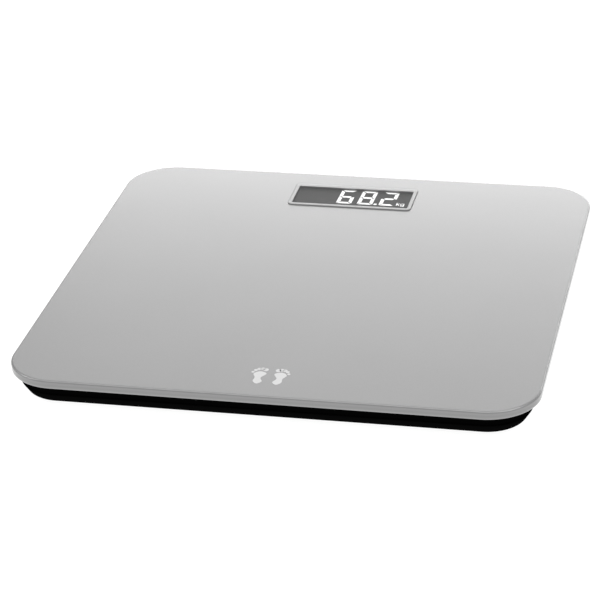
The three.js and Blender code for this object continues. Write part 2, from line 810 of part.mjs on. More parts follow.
/** The door: a plate with a round hinge edge, two pins, a latch tab and two ribs that steady the cell. */
function batteryDoor() {
  const bottom = underside + gap;
  const radius = door.thickness / 2;
  const back = coinY + doorDepth / 2;
  const length = back - hingeY;
  const plate = block(doorWidth, length, bottom, doorTop, 0, hingeY + length / 2);
  const edge = hingeBar(radius, doorWidth);
  const pins = hingeBar(door.pin, doorWidth + 2 * door.pinLength);
  const tab = block(door.tab, 4, bottom, doorTop, 0, back + door.tabReach - 2);
  const ribs = [-1, 1].map((side) =>
    block(1.2, 9, doorTop - gap, coinBottom - gap, side * 4, coinY),
  );
  return join(plate, edge, pins, tab, ...ribs);
}

// ---------------------------------------------------------------- the whole scale

add("glass_platform", glassPlatform(), looks.glass);
add("platform_tape", platformTape(), looks.tape);
add("base_tray", baseTray(), looks.black);
add("rating_label", ratingLabel(), looks.label);
add("display_bezel", displayBezel(), looks.silver);
add("display_tape", displayTape(), looks.tape);
add("display_window", displayWindow(), looks.clear);
add("lcd_panel", lcdPanel(), looks.lcd);
add("backlight_guide", backlightGuide(), looks.acrylic);
add("backlight_led", backlightLed(), looks.white);
add("zebra_connector", zebraConnector(), looks.rubber);
add("lcd_frame", lcdFrame(), looks.black);
add("main_board", mainBoard(), looks.board);
add("controller_chip", controllerChip(), looks.chip);
add("amplifier_chip", amplifierChip(), looks.chip);
add("board_capacitor", boardCapacitor(), looks.steel);
add("crystal", crystal(), looks.steel);
add("unit_switch_body", unitSwitchBody(), looks.chip);
add("unit_switch_plunger", unitSwitchPlunger(), looks.white);
add("unit_button", unitButton(), looks.black);
add("coin_cell", coinCell(), looks.steel);
add("contact_negative", negativeContact(), looks.steel);
add("contact_positive", positiveContact(), looks.steel);
add("battery_door", batteryDoor(), looks.black);
boardScrews.forEach(([x, y], i) => add(`board_screw_${i + 1}`, panScrew(boardTop, x, y), looks.steel));
addFeet();

export default scale;
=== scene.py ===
"""The looks of a digital bathroom scale: a silver glass platform on a black tray, with a grey display."""

import math

import bmesh
import bpy
from mathutils import Matrix, Vector


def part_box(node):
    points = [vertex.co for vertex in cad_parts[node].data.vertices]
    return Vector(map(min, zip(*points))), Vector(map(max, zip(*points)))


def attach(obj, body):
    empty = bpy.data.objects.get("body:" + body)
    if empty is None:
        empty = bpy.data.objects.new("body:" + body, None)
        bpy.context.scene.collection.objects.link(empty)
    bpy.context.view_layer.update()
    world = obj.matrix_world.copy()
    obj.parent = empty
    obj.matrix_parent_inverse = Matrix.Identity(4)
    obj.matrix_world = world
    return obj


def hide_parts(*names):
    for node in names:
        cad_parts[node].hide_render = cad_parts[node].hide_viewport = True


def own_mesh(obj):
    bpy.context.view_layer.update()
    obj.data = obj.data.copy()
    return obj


MM = 0.001
FEET = ("front_left", "front_right", "rear_left", "rear_right")

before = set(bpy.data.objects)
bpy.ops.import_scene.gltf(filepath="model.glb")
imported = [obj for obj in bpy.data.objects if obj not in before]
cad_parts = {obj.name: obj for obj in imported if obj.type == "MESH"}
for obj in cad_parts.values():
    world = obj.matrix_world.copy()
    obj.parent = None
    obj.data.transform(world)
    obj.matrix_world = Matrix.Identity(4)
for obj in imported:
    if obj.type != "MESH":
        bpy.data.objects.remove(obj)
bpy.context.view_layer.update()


# ---------------------------------------------------------------- camera

AZIMUTH = math.radians(13.08)  # from straight in front towards the right
ELEVATION = math.radians(26.44)
ROLL = math.radians(-2.296)
DISTANCE = 1.4765  # metres from the middle of the glass's top
ASIDE = Vector((-9.6 * MM, -14.01 * MM))
LENS = 148.75
SENSOR = 36


def add_camera():
    back = Vector((
        math.sin(AZIMUTH) * math.cos(ELEVATION),
        -math.cos(AZIMUTH) * math.cos(ELEVATION),
        math.sin(ELEVATION),
    ))
    level = Vector((math.cos(AZIMUTH), math.sin(AZIMUTH), 0))
    upright = back.cross(level)
    right = math.cos(ROLL) * level + math.sin(ROLL) * upright
    up = math.cos(ROLL) * upright - math.sin(ROLL) * level
    target = Vector((0, 0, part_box("glass_platform")[1].z))
    data = bpy.data.cameras.new("camera")
    data.lens = LENS
    data.sensor_width = SENSOR
    camera = bpy.data.objects.new("camera", data)
    camera.matrix_world = Matrix.Translation(
        target + back * DISTANCE + right * ASIDE.x + up * ASIDE.y
    ) @ Matrix((right, up, back)).transposed().to_4x4()
    bpy.context.scene.collection.objects.link(camera)
    bpy.context.scene.camera = camera


add_camera()


# ---------------------------------------------------------------- materials


class Paint:
    """A material whose look is built from small procedural parts."""

    def __init__(self, name, colour, roughness, metallic=0.0, **constants):
        self.material = bpy.data.materials.new(name)
        self.material.use_nodes = True
        self.tree = self.material.node_tree
        self.shader = self.tree.nodes["Principled BSDF"]
        self.shader.inputs["Metallic"].default_value = metallic
        for socket, value in constants.items():
            self.shader.inputs[socket.replace("_", " ")].default_value = value
        self.colour = colour
        self.place = self.node("ShaderNodeTexCoord").outputs["Object"]
        self.shade = None
        self.gloss = roughness
        self.height = None

    def node(self, kind, **settings):
        made = self.tree.nodes.new(kind)
        for key, value in settings.items():
            setattr(made, key, value)
        return made

    def link(self, source, target):
        self.tree.links.new(source, target)

    def stretch(self, factors):
        """The object's coordinates, scaled by a factor along each axis."""
        mapping = self.node("ShaderNodeMapping")
        mapping.inputs["Scale"].default_value = factors
        self.link(self.place, mapping.inputs["Vector"])
        return mapping.outputs["Vector"]

    def noise(self, size, detail=2.0, place=None):
        """Noise with features of the given size, from 0 to 1."""
        made = self.node("ShaderNodeTexNoise")
        made.inputs["Scale"].default_value = 1 / size
        made.inputs["Detail"].default_value = detail
        made.inputs["Roughness"].default_value = 0.5
        self.link(place or self.place, made.inputs["Vector"])
        return made.outputs["Fac"]

    def cells(self, size, output="Color"):
        """Random cells of the given size."""
        made = self.node("ShaderNodeTexVoronoi")
        made.inputs["Scale"].default_value = 1 / size
        self.link(self.place, made.inputs["Vector"])
        return made.outputs[output]

    def spread(self, value, low, high, start=0.3, end=0.7):
        """A value from start to end, taken to a range from low to high."""
        made = self.node("ShaderNodeMapRange")
        for socket, number in (("From Min", start), ("From Max", end), ("To Min", low), ("To Max", high)):
            made.inputs[socket].default_value = number
        self.link(value, made.inputs["Value"])
        return made.outputs["Result"]

    def mix(self, share, first, second):
        """First colour to second colour, by a share from 0 to 1."""
        made = self.node("ShaderNodeMix", data_type="RGBA")
        for socket, colour in ((made.inputs[6], first), (made.inputs[7], second)):
            if isinstance(colour, tuple):
                socket.default_value = (*colour, 1)
            else:
                self.link(colour, socket)
        self.link(share, made.inputs[0])
        return made.outputs[2]

    def tint(self, value, amount):
        """The colour, made darker and lighter by an amount as a value goes from 0 to 1."""
        base = self.colour
        dark = tuple(c * (1 - amount) for c in base)
        light = tuple(min(c * (1 + amount), 1) for c in base)
        self.shade = self.mix(self.spread(value, 0, 1), dark, light)

    def bands(self, low, high, tones):
        """Grey tones by height, from (share of the way from low to high, screen value) pairs."""
        place = self.node("ShaderNodeSeparateXYZ")
        self.link(self.place, place.inputs["Vector"])
        made = self.node("ShaderNodeValToRGB")
        self.link(self.spread(place.outputs["Z"], 0, 1, low, high), made.inputs["Fac"])
        ramp = made.color_ramp
        for share, tone in tones:
            stop = ramp.elements.new(share) if 0 < share < 1 else ramp.elements[-int(share)]
            stop.color = (*grey(tone), 1)
        self.shade = made.outputs["Color"]

    def bump(self, value, depth, strength=1.0):
        """Adds a relief of the given depth."""
        made = self.node("ShaderNodeBump")
        made.inputs["Distance"].default_value = depth
        made.inputs["Strength"].default_value = strength
        self.link(value, made.inputs["Height"])
        if self.height is not None:
            self.link(self.height, made.inputs["Normal"])
        self.height = made.outputs["Normal"]

    def soften(self, radius):
        """Rounds the look of sharp edges."""
        made = self.node("ShaderNodeBevel", samples=4)
        made.inputs["Radius"].default_value = radius
        self.height = made.outputs["Normal"]

    def done(self):
        if self.shade is None:
            self.shader.inputs["Base Color"].default_value = (*self.colour, 1)
        else:
            self.link(self.shade, self.shader.inputs["Base Color"])
        if isinstance(self.gloss, float):
            self.shader.inputs["Roughness"].default_value = self.gloss
        else:
            self.link(self.gloss, self.shader.inputs["Roughness"])
        if self.height is not None:
            self.link(self.height, self.shader.inputs["Normal"])
        return self.material


def grey(value):
    """A neutral linear colour from a screen value out of 255."""
    level = ((value / 255 + 0.055) / 1.055) ** 2.4
    return (level, level, level)


def silver_lacquer():
    """Fine metal flake under clear glass."""
    paint = Paint("silver_lacquer", grey(113), 0.3, 0.25, Coat_Weight=1.0, Coat_Roughness=0.2, Coat_IOR=1.5)
    flake = paint.cells(0.16 * MM)
    cloud = paint.noise(60 * MM, 1.0)
    paint.tint(cloud, 0.02)
    separate = paint.node("ShaderNodeSeparateColor")
    paint.link(flake, separate.inputs["Color"])
    paint.shade = paint.mix(paint.spread(separate.outputs["Red"], 0, 0.06, 0, 1), paint.shade, grey(190))
    paint.gloss = paint.spread(separate.outputs["Green"], 0.28, 0.32, 0, 1)
    paint.bump(paint.noise(0.5 * MM, 2.0), 0.0015 * MM)
    return paint.done()


def glass_edge():
    """The ground and polished edge of the glass, with the lacquer seen through it, and painted light and
    shade by height: a painted highlight along its lower edge and painted shade through its middle.
    """
    paint = Paint("glass_edge", grey(120), 0.12, Specular_IOR_Level=0.1, Coat_Weight=0.5, Coat_Roughness=0.06)
    low, high = (corner.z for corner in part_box("glass_platform"))
    # painted light and shade by height: lighter along the lower edge as a painted highlight, darker through
    # the middle as painted shade
    paint.bands(low, high, ((0, 150), (0.16, 150), (0.3, 134), (0.55, 133), (0.62, 138), (1, 138)))
    grind = paint.noise(0.6 * MM, 2.0, paint.stretch((1, 1, 6)))
    paint.gloss = paint.spread(grind, 0.08, 0.2)
    paint.bump(grind, 0.01 * MM)
    return paint.done()


def glass_arris():
    """The bright rounded edge along the top of the glass."""
    paint = Paint("glass_arris", grey(136), 0.35, 1.0)
    paint.tint(paint.noise(6 * MM, 2.0), 0.03)
    paint.gloss = paint.spread(paint.noise(8 * MM, 2.0), 0.33, 0.39)
    return paint.done()


def lacquer_back():
    """The matt back of the lacquer, seen from below."""
    paint = Paint("lacquer_back", grey(120), 0.7)
    paint.tint(paint.noise(2 * MM, 3.0), 0.06)
    paint.bump(paint.noise(0.3 * MM), 0.02 * MM)
    return paint.done()


def silver_plastic():
    paint = Paint("silver_plastic", grey(142), 0.3, 0.35, Coat_Weight=0.2, Coat_Roughness=0.15)
    paint.tint(paint.cells(0.12 * MM), 0.05)
    paint.gloss = paint.spread(paint.noise(1.5 * MM, 3.0), 0.27, 0.38)
    paint.bump(paint.noise(0.15 * MM, 2.0), 0.004 * MM)
    return paint.done()


def black_plastic():
    """Moulded black plastic with a fine spark-eroded texture."""
    paint = Paint("black_plastic", grey(15), 0.5, Specular_IOR_Level=0.13)
    paint.soften(0.25 * MM)
    grain = paint.noise(0.35 * MM, 3.0)
    paint.tint(paint.noise(12 * MM, 3.0), 0.25)
    paint.gloss = paint.spread(grain, 0.42, 0.6)
    paint.bump(grain, 0.03 * MM, 0.6)
    return paint.done()


def skirt_plastic():
    """The same plastic on the tray's wall, with painted shade that makes it deepest black under the glass's
    overhang and a painted reflection of the floor that makes it paler towards its lower edge.
    """
    paint = Paint("skirt_plastic", grey(4), 0.5, Specular_IOR_Level=0.0)
    lower_edge, lip = 3.3 * MM, 9.2 * MM
    # painted shade under the glass and a painted reflection of the floor lower down, as grey tones by height
    paint.bands(lower_edge, lip, ((0, 14), (0.2, 8), (0.85, 7), (1, 2)))
    grain = paint.noise(0.35 * MM, 3.0)
    paint.gloss = paint.spread(grain, 0.42, 0.6)
    paint.bump(grain, 0.03 * MM, 0.6)
    return paint.done()


def black_rubber():
    paint = Paint("black_rubber", grey(30), 0.85, Specular_IOR_Level=0.3)
    dust = paint.noise(4 * MM, 5.0)
    paint.shade = paint.mix(paint.spread(dust, 0, 0.35, 0.45, 0.75), grey(54), grey(92))
    paint.gloss = paint.spread(dust, 0.7, 0.95)
    paint.bump(paint.noise(0.25 * MM, 3.0), 0.05 * MM)
    return paint.done()


def window_acrylic():
    paint = Paint("window_acrylic", grey(60), 0.04, Alpha=0.1, IOR=1.35)
    smear = paint.noise(8 * MM, 4.0)
    paint.gloss = paint.spread(smear, 0.02, 0.07)
    return paint.done()


def lcd_glass():
    """The grey field of the display, with the faint lines of its electrodes."""
    paint = Paint("lcd_glass", grey(40), 0.35, Specular_IOR_Level=0.02,
                  Emission_Strength=0.086, Emission_Color=(1, 1, 1, 1))
    lines = paint.node("ShaderNodeTexWave", bands_direction="X")
    lines.inputs["Scale"].default_value = 1 / (3 * MM)
    paint.link(paint.place, lines.inputs["Vector"])
    faint = paint.mix(paint.spread(lines.outputs["Fac"], 0, 0.06, 0.9, 1), grey(48), grey(62))
    cloud = paint.noise(20 * MM, 2.0)
    paint.shade = paint.mix(paint.spread(cloud, 0, 0.1), faint, grey(40))
    return paint.done()


def lit_segment():
    """Liquid crystal that lets the backlight through."""
    paint = Paint("lit_segment", grey(244), 0.4, Emission_Strength=0.4, Emission_Color=(1, 1, 1, 1))
    paint.tint(paint.noise(0.5 * MM, 2.0), 0.03)
    return paint.done()


def print_ink():
    paint = Paint("print_ink", grey(184), 0.4, 0.2, Specular_IOR_Level=0.3)
    paint.tint(paint.noise(0.4 * MM, 3.0), 0.05)
    paint.bump(paint.noise(0.2 * MM, 2.0), 0.004 * MM)
    return paint.done()


def foam_tape():
    paint = Paint("foam_tape", grey(222), 0.95)
    pores = paint.cells(0.3 * MM, output="Distance")
    paint.tint(pores, 0.2)
    paint.bump(pores, 0.1 * MM)
    return paint.done()


def plated_steel(name, tone, roughness):
    """Steel with fine drawn lines and dull patches."""
    paint = Paint(name, grey(tone), roughness, 1.0)
    lines = paint.noise(0.4 * MM, 3.0, paint.stretch((0.08, 1, 1)))
    patch = paint.noise(5 * MM, 4.0)
    paint.soften(0.12 * MM)
    paint.tint(patch, 0.12)
    paint.gloss = paint.spread(lines, roughness - 0.08, roughness + 0.12)
    paint.bump(lines, 0.01 * MM)
    return paint.done()


def circuit_board():
    """Green solder mask over copper tracks."""
    mask, mask_on_copper = (0.012, 0.09, 0.03), (0.03, 0.17, 0.05)
    paint = Paint("circuit_board", mask, 0.35, Coat_Weight=0.4, Coat_Roughness=0.1)
    tracks = paint.node("ShaderNodeTexBrick", offset=0.5)
    tracks.inputs["Scale"].default_value = 1 / (9 * MM)
    tracks.inputs["Mortar Size"].default_value = 0.05
    paint.link(paint.place, tracks.inputs["Vector"])
    paint.shade = paint.mix(tracks.outputs["Fac"], mask, mask_on_copper)
    paint.bump(tracks.outputs["Fac"], 0.035 * MM)
    paint.gloss = paint.spread(paint.noise(2 * MM, 3.0), 0.28, 0.42)
    return paint.done()


def chip_resin():
    paint = Paint("chip_resin", grey(34), 0.55)
    paint.soften(0.1 * MM)
    paint.tint(paint.noise(1.2 * MM, 4.0), 0.3)
    paint.bump(paint.noise(0.15 * MM, 2.0), 0.01 * MM)
    return paint.done()


def white_plastic():
    paint = Paint("white_plastic", grey(228), 0.45)
    paint.soften(0.1 * MM)
    paint.tint(paint.noise(3 * MM, 3.0), 0.04)
    paint.bump(paint.noise(0.3 * MM), 0.01 * MM)
    return paint.done()


def clear_acrylic():
    paint = Paint("clear_acrylic", grey(236), 0.12, IOR=1.49, Transmission_Weight=0.6)
    dots = paint.cells(1.2 * MM, output="Distance")
    paint.tint(dots, 0.05)
    paint.bump(dots, 0.02 * MM)
    return paint.done()


def label_film():
    """Satin silver film."""
    paint = Paint("label_film", grey(196), 0.4, 0.4)
    lines = paint.noise(0.3 * MM, 2.0, paint.stretch((0.05, 1, 1)))
    paint.tint(lines, 0.06)
    paint.gloss = paint.spread(lines, 0.34, 0.5)
    return paint.done()


def black_ink():
    paint = Paint("black_ink", grey(48), 0.5)
    paint.tint(paint.noise(0.3 * MM, 3.0), 0.2)
    return paint.done()


LOOKS = {
    "lacquer": silver_lacquer(),
    "edge": glass_edge(),
    "arris": glass_arris(),
    "back": lacquer_back(),
    "silver": silver_plastic(),
    "black": black_plastic(),
    "skirt": skirt_plastic(),
    "rubber": black_rubber(),
    "window": window_acrylic(),
    "lcd": lcd_glass(),
    "segment": lit_segment(),
    "ink": print_ink(),
    "tape": foam_tape(),
    "steel": plated_steel("plated_steel", tone=200, roughness=0.3),
    "dull_steel": plated_steel("dull_steel", tone=150, roughness=0.42),
    "board": circuit_board(),
    "chip": chip_resin(),
    "white": white_plastic(),
    "acrylic": clear_acrylic(),
    "label": label_film(),
    "print": black_ink(),
}


# ---------------------------------------------------------------- shapes


def new_piece(name, mesh, body, looks):
    """An object in the row frame that rides on a body and takes its finish from a material slot."""
    piece = bpy.data.objects.new(name, mesh)
    bpy.context.scene.collection.objects.link(piece)
    for look in looks:
        mesh.materials.append(LOOKS[look])
    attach(piece, body)
    return piece


def mesh_from(name, build, sharp=40):
    """A mesh made by a function that fills a bmesh, smooth except across sharp edges."""
    made = bmesh.new()
    build(made)
    bmesh.ops.recalc_face_normals(made, faces=made.faces)
    mesh = bpy.data.meshes.new(name)
    made.to_mesh(mesh)
    made.free()
    for polygon in mesh.polygons:
        polygon.use_smooth = True
    mesh.set_sharp_from_angle(angle=math.radians(sharp))
    return mesh


def weigh_normals(piece):
    """Keeps the large flat faces flat beside their rounded edges."""
    modifier = piece.modifiers.new("weigh", "WEIGHTED_NORMAL")
    modifier.keep_sharp = True
    modifier.weight = 100


def rounded(width, depth, radius, steps):
    """The points of a rounded rectangle about the origin, counter-clockwise."""
    points = []
    for quarter, (x, y) in enumerate(((1, 1), (-1, 1), (-1, -1), (1, -1))):
        for step in range(steps + 1):
            angle = (quarter + step / steps) * math.pi / 2
            points.append(Vector((
                x * (width / 2 - radius) + radius * math.cos(angle),
                y * (depth / 2 - radius) + radius * math.sin(angle),
            )))
    return points


def circle(radius, steps):
    return [Vector((radius * math.cos(a), radius * math.sin(a)))
            for a in (2 * math.pi * i / steps for i in range(steps))]


def ring(made, points, height, centre=(0, 0)):
    return [made.verts.new((p.x + centre[0], p.y + centre[1], height)) for p in points]


def strip(made, lower, upper):
    """Faces between two rings of as many points."""
    count = len(lower)
    for i in range(count):
        after = (i + 1) % count
        made.faces.new((lower[i], lower[after], upper[after], upper[i]))


def skin(made, rings, closed=False):
    for lower, upper in zip(rings, rings[1:] + rings[:1] if closed else rings[1:]):
        strip(made, lower, upper)


def fillet(radius, steps, start, end):
    """Points on an arc about the origin, from one angle to another, in degrees."""
    return [(radius * math.cos(math.radians(start + (end - start) * i / steps)),
             radius * math.sin(math.radians(start + (end - start) * i / steps)))
            for i in range(steps + 1)]


def cap_between(made, outer, inner):
    """A flat face between an outer ring and the ring of a hole in it."""
    edges = [made.edges.get((loop[i], loop[(i + 1) % len(loop)]))
             for loop in (outer, inner) for i in range(len(loop))]
    filled = bmesh.ops.triangle_fill(made, edges=edges, use_beauty=True)
    return [face for face in filled["geom"] if isinstance(face, bmesh.types.BMFace)]


def lathe(made, profile, centre, steps=64):
    """A turned solid from its (radius, height) profile, which starts and ends on the axis."""
    rings = []
    for radius, height in profile:
        if radius == 0:
            rings.append(made.verts.new((centre[0], centre[1], height)))
        else:
            rings.append(ring(made, circle(radius, steps), height, centre))
    for lower, upper in zip(rings, rings[1:]):
        if isinstance(lower, list) and isinstance(upper, list):
            strip(made, lower, upper)
        elif isinstance(upper, list):
            for i in range(steps):
                made.faces.new((lower, upper[(i + 1) % steps], upper[i]))
        elif isinstance(lower, list):
            for i in range(steps):
                made.faces.new((lower[i], lower[(i + 1) % steps], upper))


def round_edges(piece, width):
    """Rounds a piece's sharp edges, and returns the modifier that does so."""
    modifier = piece.modifiers.new("rounding", "BEVEL")
    modifier.width = width
    modifier.segments = 2
    modifier.limit_method = "ANGLE"
    return modifier


def centre_of(node):
    low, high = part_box(node)
    return (low + high) / 2


# ---------------------------------------------------------------- glass platform

CORNER = 30 * MM
ARRIS = 1.1 * MM
CORNER_STEPS = 28
RIM_STEPS = 8
glass_low, glass_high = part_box("glass_platform")
bezel_low, bezel_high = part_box("display_bezel")
display = centre_of("display_window")
RIM_WIDTH = 78.6 * MM
RIM_DEPTH = 32 * MM
RIM_CORNER = 2.6 * MM
HOLE_GAP = 0.15 * MM
HOLE_CHAMFER = 0.25 * MM
EDGING = 0.4 * MM  # a flat strip beside each rounded edge, which keeps the faces' shading flat


def add_glass():
    """The glass with its rounded edge and the cut-out for the display, painted as its lacquer looks."""
    width, depth = glass_high.x - glass_low.x, glass_high.y - glass_low.y
    looks = ["lacquer", "edge", "back", "arris"]

    def build(made):
        levels = [(ARRIS - x, glass_low.z + ARRIS + z) for x, z in fillet(ARRIS, 6, -90, 0)]
        levels += [(ARRIS - x, glass_high.z - ARRIS + z) for x, z in fillet(ARRIS, 6, 0, 90)]
        levels = [(ARRIS + EDGING, glass_low.z), *levels, (ARRIS + EDGING, glass_high.z)]
        outer = [
            ring(made, rounded(width - 2 * inset, depth - 2 * inset, CORNER - inset, CORNER_STEPS), z)
            for inset, z in levels
        ]
        hole_levels = (
            (HOLE_GAP + EDGING, glass_low.z),
            (HOLE_GAP, glass_low.z),
            (HOLE_GAP, glass_high.z - HOLE_CHAMFER),
            (2 * HOLE_GAP, glass_high.z),
            (2 * HOLE_GAP + EDGING, glass_high.z),
        )
        hole = [
            ring(made, rounded(RIM_WIDTH + 2 * gap, RIM_DEPTH + 2 * gap, RIM_CORNER + gap, RIM_STEPS), z,
                 (display.x, display.y))
            for gap, z in hole_levels
        ]
        skin(made, outer)
        skin(made, hole)
        for face in made.faces:
            low, high = min(v.co.z for v in face.verts), max(v.co.z for v in face.verts)
            if high - low < ARRIS / 100:
                face.material_index = looks.index("lacquer" if high > display.z else "back")
            else:
                face.material_index = looks.index("arris" if low > glass_high.z - ARRIS * 1.01 else "edge")
        for face in cap_between(made, outer[-1], hole[-1]):
            face.material_index = looks.index("lacquer")
        for face in cap_between(made, outer[0], hole[0]):
            face.material_index = looks.index("back")

    mesh = mesh_from("glass_body", build, 60)
    piece = new_piece("glass_body", mesh, "scale", looks)
    weigh_normals(piece)
    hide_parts("glass_platform")


PRINT_CENTRE = Vector((0, -127 * MM))
PRINT_THICKNESS = 0.02 * MM
PRINT_SCALE = 1.25 * MM


def plate(made, outline, low, high):
    """A flat plate on an outline."""
    lower, upper = ring(made, outline, low), ring(made, outline, high)
    strip(made, lower, upper)
    made.faces.new(lower[::-1])
    made.faces.new(upper)


def smooth_loop(points, steps):
    """A smooth closed curve through points."""
    count, curve = len(points), []
    for i in range(count):
        before, start, end, after = (Vector(points[(i + k) % count]) for k in (-1, 0, 1, 2))
        for step in range(steps):
            t = step / steps
            curve.append((2 * start + (end - before) * t + (2 * before - 5 * start + 4 * end - after) * t * t
                          + (3 * start - before - 3 * end + after) * t ** 3) / 2)
    return curve


# One footprint, in units of PRINT_SCALE about the middle between the two.
FOOT_ASIDE = 4.4
SOLE = ((0, -7), (2, -4.9), (1.9, -1.4), (3.1, 1.9), (0.5, 4.3), (-2.6, 2.5), (-0.8, -1.5), (-2, -4.9))
TOES = 5
TOE_ARC_CENTRE = Vector((0.2, 1.4))
TOE_ARC_WIDTH, TOE_ARC_HEIGHT = 3.8, 5.2  # half of each
FIRST_TOE_ANGLE, TOE_STEP = 118, 24  # degrees
BIG_TOE_RADIUS, TOE_SHRINK, TOE_STRETCH = 1.2, 0.13, 1.15


def foot_outlines(side):
    """The sole and toes of one small footprint; side is -1 for the left foot and 1 for the right."""
    shapes = [smooth_loop(SOLE, 5)]
    for toe in range(TOES):
        angle = math.radians(FIRST_TOE_ANGLE - TOE_STEP * toe)
        middle = TOE_ARC_CENTRE + Vector((TOE_ARC_WIDTH * math.cos(angle), TOE_ARC_HEIGHT * math.sin(angle)))
        outline = circle(BIG_TOE_RADIUS - TOE_SHRINK * toe, 16)
        shapes.append([middle + Vector((p.x, p.y * TOE_STRETCH)) for p in outline])
    return [
        [PRINT_CENTRE + Vector((side * (FOOT_ASIDE + p.x), p.y)) * PRINT_SCALE for p in shape]
        for shape in shapes
    ]


def add_print():
    """A pair of light footprints printed near the front edge."""
    for name, side in (("left", -1), ("right", 1)):
        def build(made):
            for outline in foot_outlines(side):
                plate(made, outline, glass_high.z - PRINT_THICKNESS, glass_high.z + PRINT_THICKNESS)

        mesh = mesh_from(f"footprint_{name}", build)
        new_piece(f"footprint_{name}", mesh, "scale", ["ink"])


# ---------------------------------------------------------------- display

OPENING_WIDTH = 74.2 * MM
OPENING_DEPTH = 25.8 * MM
OPENING_CORNER = 0.7 * MM
OPENING_FORWARD = 0.8 * MM  # from the middle of the rim to the middle of the opening
LIP_GAP = 0.05 * MM  # between the surround's lip and the window
FLANGE_CORNER = 3 * MM
SURROUND_WALL = 0.9 * MM
SURROUND_INSIDE_CORNER = 0.8 * MM


def add_bezel():
    """The silver surround, with a soft outer edge and a thin inner lip."""
    flange_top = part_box("base_tray")[1].z
    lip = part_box("display_window")[1].z + LIP_GAP
    flange_width, flange_depth = bezel_high.x - bezel_low.x, bezel_high.y - bezel_low.y
    inside_width, inside_depth = RIM_WIDTH - 2 * SURROUND_WALL, RIM_DEPTH - 2 * SURROUND_WALL
    edge, inner_edge = 0.45 * MM, 0.15 * MM

    def build(made):
        middle, opening = display.y, display.y - OPENING_FORWARD
        levels = [(flange_width, flange_depth, FLANGE_CORNER, bezel_low.z, middle),
                  (flange_width, flange_depth, FLANGE_CORNER, flange_top, middle),
                  (RIM_WIDTH, RIM_DEPTH, RIM_CORNER, flange_top, middle)]
        for x, z in fillet(edge, 5, 0, 90):
            inset = edge - x
            levels.append((RIM_WIDTH - 2 * inset, RIM_DEPTH - 2 * inset, RIM_CORNER - inset,
                           bezel_high.z - edge + z, middle))
        for x, z in fillet(inner_edge, 3, 90, 180):
            grow = inner_edge + x
            levels.append((OPENING_WIDTH + 2 * grow, OPENING_DEPTH + 2 * grow, OPENING_CORNER + grow,
                           bezel_high.z - inner_edge + z, opening))
        levels += [(OPENING_WIDTH, OPENING_DEPTH, OPENING_CORNER, lip, opening),
                   (inside_width, inside_depth, SURROUND_INSIDE_CORNER, lip, middle),
                   (inside_width, inside_depth, SURROUND_INSIDE_CORNER, bezel_low.z, middle)]
        rings = [
            ring(made, rounded(width, depth, radius, RIM_STEPS), z, (display.x, y))
            for width, depth, radius, z, y in levels
        ]
        skin(made, rings, closed=True)

    mesh = mesh_from("bezel_surround", build, 35)
    piece = new_piece("bezel_surround", mesh, "scale", ["silver"])
    weigh_normals(piece)
    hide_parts("display_bezel")


DIGIT_WIDTH = 9.8 * MM
DIGIT_HEIGHT = 20 * MM
STROKE = 2.25 * MM
PITCH = 13.5 * MM
FIRST_DIGIT = -9.1 * MM
TENTHS_SHIFT = 0.4 * MM  # room for the decimal point before the last digit
BASELINE = -8.2 * MM  # from the middle of the display
MITRE = 0.46 * MM
SLANT = 0.03  # to the left per height below the top of a digit
POINT_ASIDE, POINT_ABOVE, POINT_SIZE, POINT_CORNER = 15.5 * MM, 1.1 * MM, 2 * MM, 0.5 * MM
UNIT_ASIDE, UNIT_ABOVE, UNIT_STROKE = 28.8 * MM, 0.7 * MM, 0.55 * MM
UNIT_STROKES = (  # from and to, in mm from the lower left corner
    ((0.3, 0.3), (0.3, 4.0)), ((0.6, 1.8), (1.8, 3.1)), ((0.9, 2.0), (2.0, 0.3)),
    ((2.9, 0.9), (2.9, 2.6)), ((3.4, 3.0), (4.6, 3.0)), ((4.9, 2.7), (4.9, -0.4)),
    ((3.4, 0.6), (4.6, 0.6)), ((3.2, -0.8), (4.6, -0.8)),
)
SUNK, PLATE_THICKNESS = 0.01 * MM, 0.03 * MM  # of the lit plates on the display glass
SEGMENTS = {"6": "acdefg", "8": "abcdefg", "2": "abdeg"}


def segment_outlines(width, height, stroke, gap):
    """The seven segments of a digit, each as points from its lower left corner."""
    half, middle = stroke / 2, height / 2
    left, right = stroke + gap, width - stroke - gap
    top = [(gap, height), (left, height - stroke), (right, height - stroke), (width - gap, height)]
    upper_left = [(0, height - gap), (0, middle + gap / 2), (half - gap / 2, middle + gap / 2),
                  (stroke, middle + half + gap), (stroke, height - stroke - gap)]
    centre = [(half + gap, middle), (left, middle - half), (right, middle - half),
              (width - half - gap, middle), (right, middle + half), (left, middle + half)]

    def across(points):
        return [(width - x, y) for x, y in reversed(points)]

    def down(points):
        return [(x, height - y) for x, y in reversed(points)]

    return {
        "a": top,
        "b": across(upper_left),
        "c": across(down(upper_left)),
        "d": down(top),
        "e": down(upper_left),
        "f": upper_left,
        "g": centre,
    }


